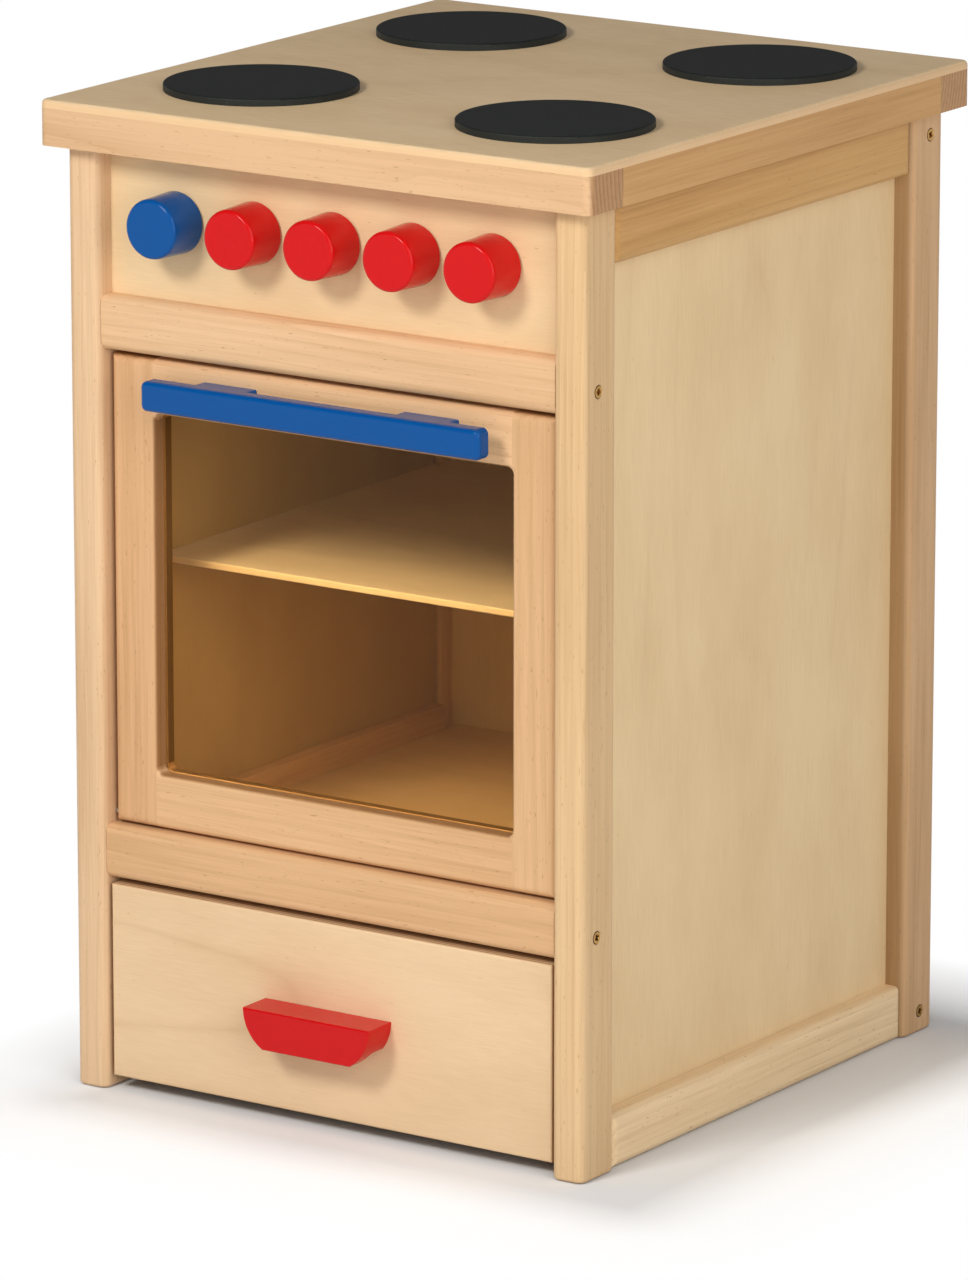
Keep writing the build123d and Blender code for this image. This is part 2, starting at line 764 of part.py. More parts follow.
with BuildPart() as drawer_bottom:
    reach = drawer_groove - groove_play
    fill(
        Block(
            (-drawer_inner_x - reach, drawer_inner_x + reach),
            (drawer_box_y - reach, drawer_back_y + reach),
            (drawer_floor_z, drawer_floor_z + sheet_thickness),
        )
    )
save(drawer_bottom, "drawer_bottom")

with BuildPart() as runners:
    for side in SIDES:
        x_span = (rail_inner_x - runner_width, rail_inner_x)
        z_span = (runner_rise, runner_rise + runner_height)
        fill(Block(x_span, (side_front_y, side_rear_y), z_span).on_side(side))
save(runners, "drawer_runners")

with BuildPart() as stops:
    stop_rear_y = drawer_back_y - drawer_travel - stop_play
    for side in SIDES:
        x_span = (panel_inner_x - floor_batten_width, panel_inner_x)
        z_span = (batten_bottom - stop_height, batten_bottom)
        fill(Block(x_span, (stop_rear_y - stop_length, stop_rear_y), z_span).on_side(side))
save(stops, "drawer_stops")

# --- Drawer handle ------------------------------------------------------------------------------

grip_top = grip_centre_z + grip_height / 2
grip_bottom = grip_centre_z - grip_height / 2
with BuildPart() as grip:
    with BuildSketch(Plane(origin=(0, drawer_front_y, 0), x_dir=(1, 0, 0), z_dir=(0, -1, 0))):
        with BuildLine():
            left_top = (-grip_top_width / 2, grip_top)
            right_top = (grip_top_width / 2, grip_top)
            left_bottom = (-grip_bottom_width / 2, grip_bottom)
            right_bottom = (grip_bottom_width / 2, grip_bottom)
            Line(left_top, right_top)
            RadiusArc(right_top, right_bottom, grip_side_radius)
            Line(right_bottom, left_bottom)
            RadiusArc(left_bottom, left_top, grip_side_radius)
        make_face()
    extrude(amount=grip_depth)
    with BuildSketch(Plane.YZ.offset(-grip_top_width / 2)):
        cove_y = drawer_front_y - grip_cove_depth / 2
        with Locations((cove_y, grip_bottom)):
            RectangleRounded(grip_cove_depth, 2 * grip_cove_height, grip_cove_rounding)
        with Locations((drawer_front_y - grip_cove_rounding / 2, grip_bottom)):
            Rectangle(grip_cove_rounding, 2 * grip_cove_height)
    extrude(amount=grip_top_width, mode=Mode.SUBTRACT)
    fillet(grip.faces().sort_by(Axis.Y)[0].edges(), grip_arris)
    for side in SIDES:
        start = (side * grip_screw_pitch / 2, drawer_front_y, grip_screw_z)
        bore(start, (0, -1, 0), small_shank / 2, grip_screw_bite)
save(grip, "drawer_handle")

with BuildPart() as grip_screws:
    reach = drawer_front_thickness + grip_screw_bite + round_head_height
    grip_screw = screw(small_shank / 2, reach, round_head_diameter / 2, round_head_height)
    for side in SIDES:
        top = (side * grip_screw_pitch / 2, drawer_box_y + round_head_height, grip_screw_z)
        with Locations(Plane(origin=top, z_dir=(0, 1, 0))):
            add(grip_screw)
save(grip_screws, "drawer_handle_screws")
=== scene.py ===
# %% [markdown]
# # A wooden toy cooker, finished in Blender
#
# The cooker arrives as a frame: every board, panel, knob and screw already has its shape and its place.
# What it lacks is its surfaces. In this lesson each piece is given the finish of what it is made of:
# solid beech under clear lacquer, birch plywood, coloured lacquer, smoked acrylic and plated steel.
# All patterns are worked out from sizes in millimetres, and no picture is used.

# %% Load the frame
import math

import bpy
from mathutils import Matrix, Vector


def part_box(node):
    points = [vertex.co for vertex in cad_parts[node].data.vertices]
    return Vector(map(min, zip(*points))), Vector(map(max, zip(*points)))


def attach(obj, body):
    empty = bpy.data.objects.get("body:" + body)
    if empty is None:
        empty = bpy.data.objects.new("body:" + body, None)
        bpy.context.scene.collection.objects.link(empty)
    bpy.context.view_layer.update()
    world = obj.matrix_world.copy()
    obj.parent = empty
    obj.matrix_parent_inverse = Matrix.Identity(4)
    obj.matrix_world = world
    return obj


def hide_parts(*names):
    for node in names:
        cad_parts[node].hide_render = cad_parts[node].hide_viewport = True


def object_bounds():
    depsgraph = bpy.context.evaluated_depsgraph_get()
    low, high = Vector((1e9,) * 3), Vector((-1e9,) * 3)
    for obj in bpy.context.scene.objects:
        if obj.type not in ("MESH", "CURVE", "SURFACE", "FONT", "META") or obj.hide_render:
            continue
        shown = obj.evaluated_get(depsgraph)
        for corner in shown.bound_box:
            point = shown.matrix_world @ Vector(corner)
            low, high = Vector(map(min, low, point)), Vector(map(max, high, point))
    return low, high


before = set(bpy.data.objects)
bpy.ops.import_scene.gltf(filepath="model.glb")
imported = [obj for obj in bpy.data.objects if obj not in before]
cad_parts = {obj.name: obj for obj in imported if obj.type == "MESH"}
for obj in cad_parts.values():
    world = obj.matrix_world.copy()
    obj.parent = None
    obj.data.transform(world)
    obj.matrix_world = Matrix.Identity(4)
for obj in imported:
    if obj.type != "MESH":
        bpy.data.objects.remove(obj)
cad_box = [list(corner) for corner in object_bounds()]
print("nodes:", len(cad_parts), "box:", cad_box)

# %% [markdown]
# ## Colours and nodes
#
# Colours are written here as a paint chart gives them, in sRGB hex, and turned into the linear numbers
# that light is reckoned in. One small function adds a node with its settings and its links, which
# keeps every finish below short enough to read as a recipe. Two more begin a material and put it on
# pieces of the frame.

# %% Helpers for every finish
MM = 0.001  # a millimetre, in the metres of the scene


def linear(chart):
    """The linear red, green, blue and alpha of a colour written in sRGB hex."""
    parts = [int(chart[i : i + 2], 16) / 255 for i in (1, 3, 5)]
    return [p / 12.92 if p <= 0.04045 else ((p + 0.055) / 1.055) ** 2.4 for p in parts] + [1.0]


def add(tree, kind, inputs=None, **settings):
    """Adds a node. Inputs go by name or number, and each is a value or the output of another node."""
    node = tree.nodes.new("ShaderNode" + kind)
    for name, value in settings.items():
        setattr(node, name, value)
    for socket, value in (inputs or {}).items():
        if isinstance(value, bpy.types.NodeSocket):
            tree.links.new(value, node.inputs[socket])
        else:
            node.inputs[socket].default_value = value
    return node


def new_finish(name):
    """A material with nothing in it yet, and its tree."""
    made = bpy.data.materials.new(name)
    made.use_nodes = True
    made.node_tree.nodes.clear()
    return made, made.node_tree


def wear(made, *names):
    """Puts a finish on pieces of the frame."""
    for name in names:
        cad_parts[name].material_slots[0].material = made


print("pale beech is", [round(c, 3) for c in linear("#E6C099")])

# %% [markdown]
# ## The camera
#
# A long lens from a little above and to the right shows the front, the right side and the worktop
# at once, with hardly any convergence, as in a catalogue.

# %% Place the camera
camera = bpy.data.objects.new("camera", bpy.data.cameras.new("camera"))
bpy.context.scene.collection.objects.link(camera)
camera.location = (2.5954, -3.8709, 1.40264)
looks_down, turned = 14.03, 33.99  # degrees
camera.rotation_euler = (math.radians(90 - looks_down), 0, math.radians(turned))
camera.data.lens = 246.06
camera.data.sensor_width = 36
bpy.context.scene.camera = camera
print("lens:", round(camera.data.lens), "mm, from", round(camera.location.length, 2), "m away")

# %% [markdown]
# ## The floor
#
# The cooker stands on a white sheet of paper. Close to it the paper is a plain diffuse white that takes
# the soft shadow, and right beside the feet a contact shadow is painted into its colour as painted
# shade.
# Further out it fades to pure white wherever the camera looks at it straight, in a reflection or
# through the pane, so that there is no horizon, and no extra light falls on the wood.

# %% What the camera sees
def seen_by_camera(tree, share=1.0):
    """1 for rays from the camera, and share for those that passed the pane or left a shiny face."""
    ray = add(tree, "LightPath")
    either = {0: ray.outputs["Is Glossy Ray"], 1: ray.outputs["Is Transmission Ray"]}
    onward = add(tree, "Math", either, operation="ADD")
    counted = add(tree, "Math", {0: onward.outputs[0], 1: share}, operation="MULTIPLY")
    every = {0: ray.outputs["Is Camera Ray"], 1: counted.outputs[0]}
    return add(tree, "Math", every, operation="ADD", use_clamp=True).outputs[0]


# %% Lay the paper
paper_radius = 8.0
fade_width = 0.11  # from the footprint to pure white
painted_shadow_width = 0.05  # the strip beside the footprint where a contact shadow is painted into the paper
bpy.ops.object.select_all(action="DESELECT")
bpy.ops.mesh.primitive_circle_add(
    vertices=96, radius=paper_radius, fill_type="NGON", location=(0, 0, -0.3 * MM)
)
paper = bpy.context.object
paper.name = "paper"
bpy.ops.object.transform_apply(location=True, rotation=False, scale=False)
made, tree = new_finish("white_paper")
place = add(tree, "TexCoord")
# how far a point lies outside the cooker's footprint, which is moved 30 mm to the right here, because
# the shadow lies on that side
low, high = Vector(cad_box[0]), Vector(cad_box[1])
middle = (low + high) / 2 + Vector((30 * MM, 0, 0))
half_size = ((high.x - low.x) / 2, (high.y - low.y) / 2, 10.0)
from_middle = add(tree, "VectorMath", {0: place.outputs["Object"], 1: middle}, operation="SUBTRACT")
either_side = add(tree, "VectorMath", {0: from_middle.outputs[0]}, operation="ABSOLUTE")
outside = add(tree, "VectorMath", {0: either_side.outputs[0], 1: half_size}, operation="SUBTRACT")
beyond = add(tree, "VectorMath", {0: outside.outputs[0], 1: (0.0, 0.0, 0.0)}, operation="MAXIMUM")
away = add(tree, "VectorMath", {0: beyond.outputs[0]}, operation="LENGTH")
fade = add(tree, "MapRange", {"Value": away.outputs["Value"], "From Max": fade_width})
seen = seen_by_camera(tree)
white_share = add(tree, "Math", {0: fade.outputs[0], 1: seen}, operation="MULTIPLY")
# where the camera sees it the paper is a third brighter than white, as an overexposed ground is
bleached = [1.33 * c for c in linear("#F8FAFF")]
tone = add(tree, "Mix", {0: seen, 6: linear("#EAE7E2"), 7: bleached}, data_type="RGBA")
# painted shadow: the paper's colour darkens towards the footprint
painted_contact_shadow = add(
    tree, "MapRange", {"Value": away.outputs["Value"], "From Max": painted_shadow_width, "To Min": 0.72}
)
tone = add(tree, "VectorMath", {0: tone.outputs[2], "Scale": painted_contact_shadow.outputs[0]}, operation="SCALE")
matt = add(tree, "BsdfDiffuse", {"Color": tone.outputs[0]})
white = add(tree, "Emission", {"Color": linear("#FFFFFF"), "Strength": 1.0})
both = add(tree, "MixShader", {0: white_share.outputs[0], 1: matt.outputs[0], 2: white.outputs[0]})
add(tree, "OutputMaterial", {"Surface": both.outputs[0]})
paper.data.materials.append(made)
print("paper radius:", paper_radius, "m")

# %% [markdown]
# ## The light
#
# Three soft square lamps light the cooker. The key lamp stands before the front and above it, and
# draws the soft shadows under the worktop, the knobs and the handle. The side lamp stands low at the
# right and keeps the side frame a shade darker than the front, and a weak lamp between them fills the
# corner. The room around is bright near the horizon and dimmer overhead, so that the worktop, which
# faces the ceiling, is darker than the front. The lamps are a little warm, as in a studio.

# %% Set up the room
horizon, overhead = 0.78, 0.20  # how bright the walls and the ceiling are
room = bpy.data.worlds.new("room")
room.use_nodes = True
bpy.context.scene.world = room
tree = room.node_tree
tree.nodes.clear()
place = add(tree, "TexCoord")
facing = add(tree, "SeparateXYZ", {0: place.outputs["Generated"]})
height = add(
    tree, "MapRange",
    {"Value": facing.outputs["Z"], "From Min": 0.02, "From Max": 0.32},
    interpolation_type="SMOOTHSTEP",
)
walls = add(
    tree, "Mix", {0: height.outputs[0], 6: [horizon] * 3 + [1.0], 7: [overhead] * 3 + [1.0]},
    data_type="RGBA",
)
# low down the room is as white as the paper, also where it is mirrored
low_down = add(
    tree, "MapRange",
    {"Value": facing.outputs["Z"], "From Min": 0.08, "From Max": 0.16, "To Min": 1.0, "To Max": 0.0},
)
seen = seen_by_camera(tree, low_down.outputs[0])
# higher up its mirror images are dimmed, so that the worktop keeps the colour of its wood
ray = add(tree, "LightPath")
dim = add(tree, "MapRange", {"Value": ray.outputs["Is Glossy Ray"], "To Min": 1.0, "To Max": 0.4})
dimmed = add(tree, "VectorMath", {0: walls.outputs[2], "Scale": dim.outputs[0]}, operation="SCALE")
shown = add(tree, "Mix", {0: seen, 6: dimmed.outputs[0], 7: linear("#FFFFFF")}, data_type="RGBA")
glow = add(tree, "Background", {"Color": shown.outputs[2], "Strength": 1.0})
add(tree, "OutputWorld", {"Surface": glow.outputs[0]})
print("room:", horizon, "at the horizon,", overhead, "overhead")

# %% Set up the lamps
target = Vector((0.0, 0.0, 0.28))  # the middle of the cooker
lamps = {
    # name: (direction from the cooker, distance in m, width in m, power in W)
    "key_lamp": ((-0.09, -0.82, 0.56), 2.4, 0.55, 25.0),
    "fill_lamp": ((0.40, -0.63, 0.67), 2.2, 1.2, 2.0),
    "side_lamp": ((0.76, -0.52, 0.34), 2.2, 1.6, 20.5),
}
for name, (direction, distance, width, power) in lamps.items():
    lamp = bpy.data.objects.new(name, bpy.data.lights.new(name, "AREA"))
    bpy.context.scene.collection.objects.link(lamp)
    towards = Vector(direction).normalized()
    lamp.location = target + towards * distance
    lamp.rotation_euler = (-towards).to_track_quat("-Z", "Y").to_euler()
    lamp.data.shape = "SQUARE"
    lamp.data.size = width
    lamp.data.energy = power
    lamp.data.color = linear("#FFFDF7")[:3]
bpy.context.scene.view_settings.view_transform = "Standard"
print("lamps:", sorted(lamps))

# %% [markdown]
# ## Solid beech under clear lacquer
#
# Beech is pale and close-grained. On a planed board the eye sees three things: growth rings cut
# lengthways, which draw long soft lines that are crisp on one side; fine fibre streaks; and short
# brown flecks a few millimetres long. The rings can be made as cylinders around the heart of the tree,
# cut by the board: each face then shows the right lines, and the end of the board shows arcs, for
# the same reason as in real wood. So each board gets its own fibre direction and its own heart,
# some centimetres away, and no two boards look alike. The lacquer gives a low, even sheen. Cut ends are
# darker, as they drink the lacquer. Two more kinds of face are darkened as painted shade: the edges of
# the window, most of all behind the pane, and the faces of the rear posts that look forward.


# %% The recipes for clear lacquer and for a beech board
WAVE_REPEAT = 314.0  # mm from ring to ring in a wave texture of scale 1


def varnish(tree, wood, grain, relief, patches, sheen):
    """Clear lacquer over bare wood.

    The grain is felt through it, as strongly as relief says, and its roughness changes in patches
    between the two values of sheen.
    """
    felt = add(tree, "Bump", {"Strength": relief, "Distance": 0.1 * MM, "Height": grain})
    smoothest, roughest = sheen
    dull = add(
        tree, "MapRange",
        {"Value": patches, "From Min": 0.3, "From Max": 0.7, "To Min": smoothest, "To Max": roughest},
    )
    surface = add(
        tree, "BsdfPrincipled",
        {
            "Base Color": wood, "Roughness": dull.outputs[0], "IOR": 1.5,
            "Specular IOR Level": 0.3, "Normal": felt.outputs[0],
        },
    )
    add(tree, "OutputMaterial", {"Surface": surface.outputs[0]})


def beech(
    node, along, heart, pale, ring=3.0, swirl=9.0, streaks=0.22, specks=0.0, window_edge_shade=None, forward_face_shade=None
):
    """Finishes one board. Its fibres run along an axis, and heart is where the tree's heart lies.

    heart is given in mm from the board's middle. pale is its lightest colour, ring the width of a
    growth ring in mm, swirl how far the rings wander, streaks how dark the long streaks are, and specks
    how many pin knots it shows. The last two arguments each name an axis and a way: the first for the
    edges of the window and the second for faces of the rear posts that look forward. Both are
    darkened as painted shade, the window's edges most of all behind the pane.
    """
    low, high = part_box(node)
    axis = "XYZ".index(along)
    made, tree = new_finish("beech_" + node)
    place = add(tree, "TexCoord")
    at = {}
    for feature, stretch in (("rings", 0.25), ("streaks", 0.02), ("pores", 0.18)):
        scale = [1.0, 1.0, 1.0]
        scale[axis] = stretch
        centre = (low + high) / 2 + Vector(heart) * MM
        offset = [-c * k for c, k in zip(centre, scale)]
        mapping = add(
            tree, "Mapping", {"Vector": place.outputs["Object"], "Location": offset, "Scale": scale}
        )
        at[feature] = mapping.outputs["Vector"]

    # the saw profile of the wave darkens through a ring, then drops
    rings = add(
        tree, "TexWave",
        {
            "Vector": at["rings"], "Scale": WAVE_REPEAT / ring, "Distortion": swirl,
            "Detail": 2.0, "Detail Scale": 9.0 * ring / WAVE_REPEAT, "Detail Roughness": 0.5,
        },
        wave_type="RINGS", rings_direction=along, wave_profile="SAW",
    )
    line = add(tree, "Math", {0: rings.outputs["Fac"], 1: 3.0}, operation="POWER")
    patches = add(tree, "TexNoise", {"Vector": at["rings"], "Scale": 30.0, "Detail": 2.0})
    bold = add(
        tree, "MapRange",
        {
            "Value": patches.outputs["Fac"], "From Min": 0.38, "From Max": 0.62,
            "To Min": 0.03, "To Max": 0.24,
        },
    )
    drawn = add(tree, "Math", {0: line.outputs[0], 1: bold.outputs[0]}, operation="MULTIPLY")
    # streaks 4 mm wide and as long as the board, and fibres of 0.8 mm
    long_streaks = add(
        tree, "TexNoise",
        {"Vector": at["streaks"], "Scale": 250.0, "Detail": 3.0, "Roughness": 0.6},
    )
    darker = add(
        tree, "MapRange",
        {"Value": long_streaks.outputs["Fac"], "From Min": 0.40, "From Max": 0.72, "To Max": streaks},
    )
    fibres = add(tree, "TexNoise", {"Vector": at["streaks"], "Scale": 1250.0, "Detail": 1.0})
    fine = add(
        tree, "MapRange",
        {
            "Value": fibres.outputs["Fac"], "From Min": 0.30, "From Max": 0.70,
            "To Min": -0.07, "To Max": 0.10,
        },
        clamp=False,
    )
    clouds = add(tree, "TexNoise", {"Vector": at["rings"], "Scale": 12.0, "Detail": 1.0})
    cloudy = add(
        tree, "MapRange",
        {
            "Value": clouds.outputs["Fac"], "From Min": 0.30, "From Max": 0.70,
            "To Min": -0.10, "To Max": 0.22,
        },
        clamp=False,
    )
    sum_1 = add(tree, "Math", {0: drawn.outputs[0], 1: darker.outputs[0]}, operation="ADD")
    sum_2 = add(tree, "Math", {0: fine.outputs[0], 1: cloudy.outputs[0]}, operation="ADD")
    both = {0: sum_1.outputs[0], 1: sum_2.outputs[0]}
    depth = add(tree, "Math", both, operation="ADD", use_clamp=True)
    light = linear(pale)
    deep = [c * k for c, k in zip(light, linear("#CEBCA2"))]
    wood = add(tree, "Mix", {0: depth.outputs[0], 6: light, 7: deep}, data_type="RGBA").outputs[2]

    # flecks under 1 mm wide and up to 5 mm long
    pores = add(tree, "TexNoise", {"Vector": at["pores"], "Scale": 1150.0, "Detail": 1.0})
    fleck = add(
        tree, "MapRange",
        {"Value": pores.outputs["Fac"], "From Min": 0.69, "From Max": 0.79, "To Max": 0.6},
    )
    wood = add(
        tree, "Mix", {0: fleck.outputs[0], 6: wood, 7: linear("#A87A4C")}, data_type="RGBA"
    ).outputs[2]
    if specks:
        knots = add(tree, "TexVoronoi", {"Vector": at["pores"], "Scale": specks})
        # a pin knot is dark to 0.6 mm from its middle and gone at 1.3 mm
        speck = add(
            tree, "MapRange",
            {
                "Value": knots.outputs["Distance"],
                "From Min": 0.6 * MM * specks, "From Max": 1.3 * MM * specks,
                "To Min": 0.75, "To Max": 0.0,
            },
        )
        wood = add(
            tree, "Mix", {0: speck.outputs[0], 6: wood, 7: linear("#7A4A24")}, data_type="RGBA"
        ).outputs[2]

    # faces that look one way: each is (axis and way, the painted shade that darkens it)
    painted_shades = []
    if window_edge_shade:
        # painted shade: the window's edges are darkened, most of all behind the pane
        pane_front, pane_rear = (corner.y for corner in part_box("door_pane"))
        where = add(tree, "SeparateXYZ", {0: place.outputs["Object"]})
        behind = add(
            tree, "MapRange",
            {"Value": where.outputs["Y"], "From Min": pane_front, "From Max": pane_rear},
        )
        window_shade = add(
            tree, "Mix", {0: behind.outputs[0], 6: linear("#C4B39E"), 7: linear("#8B8686")},
            data_type="RGBA",
        )
        painted_shades.append((window_edge_shade, window_shade.outputs[2]))
    # painted shade: the faces of the rear posts that look forward are darkened
    if forward_face_shade:
        painted_shades.append((forward_face_shade, linear("#D4D1C8")))
    outward = add(tree, "SeparateXYZ", {0: place.outputs["Normal"]})
    for (looks, way), shade_tone in painted_shades:
        share = add(
            tree, "MapRange",
            {"Value": outward.outputs[looks], "From Min": 0.6 * way, "From Max": 0.95 * way},
        )
        wood = add(
            tree, "Mix", {0: share.outputs[0], 6: wood, 7: shade_tone},
            data_type="RGBA", blend_type="MULTIPLY",
        ).outputs[2]
    # on cut ends the rings stand out
    facing = add(tree, "Math", {0: outward.outputs[axis]}, operation="ABSOLUTE")
    end = add(
        tree, "MapRange",
        {"Value": facing.outputs[0], "From Min": 0.72, "From Max": 0.97, "To Max": 0.8},
    )
    ring_tone = add(
        tree, "Mix", {0: line.outputs[0], 6: linear("#D4C0A8"), 7: linear("#9E866C")}, data_type="RGBA"
    )
    wood = add(
        tree, "Mix", {0: end.outputs[0], 6: wood, 7: ring_tone.outputs[2]},
        data_type="RGBA", blend_type="MULTIPLY",
    ).outputs[2]

    grain = add(tree, "Math", {0: fibres.outputs["Fac"], 1: drawn.outputs[0]}, operation="SUBTRACT")
    varnish(tree, wood, grain.outputs[0], 0.25, long_streaks.outputs["Fac"], (0.42, 0.52))
    wear(made, node)


print("a ring of 3 mm is a wave of scale", round(WAVE_REPEAT / 3.0))

# %% [markdown]
# ## The boards
#
# Posts and stiles run upwards, rails across, the rails of the side frames from front to back. A board
# cut close to the heart shows fast-changing lines, and one from further out shows calm, straight ones.

# %% Finish every board
boards = {
    # node: (fibres along, heart from the middle in mm, palest colour, other settings)
    "post_front_left": ("Z", (42, 70, 0), "#E9C6A0", {}),
    "post_front_right": ("Z", (-60, 38, 0), "#E6C498", {"streaks": 0.18}),
    # the rear posts' faces that look forward are darkened as painted shade
    "post_rear_left": ("Z", (55, -45, 0), "#E6C19A", {"forward_face_shade": ("Y", -1)}),
    "post_rear_right": ("Z", (-80, -22, 0), "#DAB389", {"streaks": 0.35, "forward_face_shade": ("Y", -1)}),
    "front_middle_rail": ("X", (0, 75, 30), "#E1B68A", {"ring": 3.6}),
    "front_top_rail": ("X", (0, 58, -42), "#E9C299", {"ring": 3.2}),
    "rear_bottom_rail": ("X", (0, -70, 20), "#E4BD93", {}),
    "rear_top_rail": ("X", (0, -55, -35), "#E4BD93", {}),
    "side_bottom_rail_left": ("Y", (50, 0, 48), "#E8C8A0", {}),
    # the right bottom rail is paler than its wood, as painted light from the paper below
    "side_bottom_rail_right": ("Y", (-62, 0, 33), "#FFE3BA", {}),
    "side_top_rail_left": ("Y", (66, 0, -30), "#DDB281", {"streaks": 0.45, "specks": 26}),
    "side_top_rail_right": ("Y", (-48, 0, -40), "#D3A568", {"streaks": 0.25, "specks": 26}),
    # the edges of the window are darkened as painted shade
    "door_stile_left": ("Z", (30, 62, 0), "#DFB286", {"streaks": 0.35, "window_edge_shade": ("X", 1)}),
    "door_stile_right": ("Z", (-36, 66, 0), "#E4BA8E", {"specks": 18, "window_edge_shade": ("X", -1)}),
    "door_top_rail": ("X", (0, 68, 40), "#EABF94", {"window_edge_shade": ("Z", -1)}),
    "door_bottom_rail": ("X", (0, 80, -36), "#E6BB8F", {"ring": 3.4, "window_edge_shade": ("Z", 1)}),
    "worktop_front_board": ("X", (0, 88, 14), "#DFB890", {"ring": 3.4, "swirl": 16.0, "streaks": 0.2}),
    "worktop_rear_board": ("X", (0, -84, 18), "#E8C299", {"swirl": 13.0}),
    "worktop_side_board_left": ("Y", (76, 0, 26), "#DDB183", {"streaks": 0.45, "specks": 22}),
    "worktop_side_board_right": ("Y", (-58, 0, 46), "#D4A56D", {"streaks": 0.3, "specks": 22}),
    "floor_battens": ("Y", (40, 0, 50), "#E0B88D", {}),
    "shelf_battens": ("Y", (60, 0, 30), "#E0B88D", {}),
    "drawer_runners": ("Y", (50, 0, 42), "#E0B88D", {}),
    "drawer_stops": ("Y", (46, 0, 38), "#E0B88D", {}),
}
for node, (along, heart, pale, others) in boards.items():
    beech(node, along, heart, pale, **others)
print("beech boards:", len(boards))
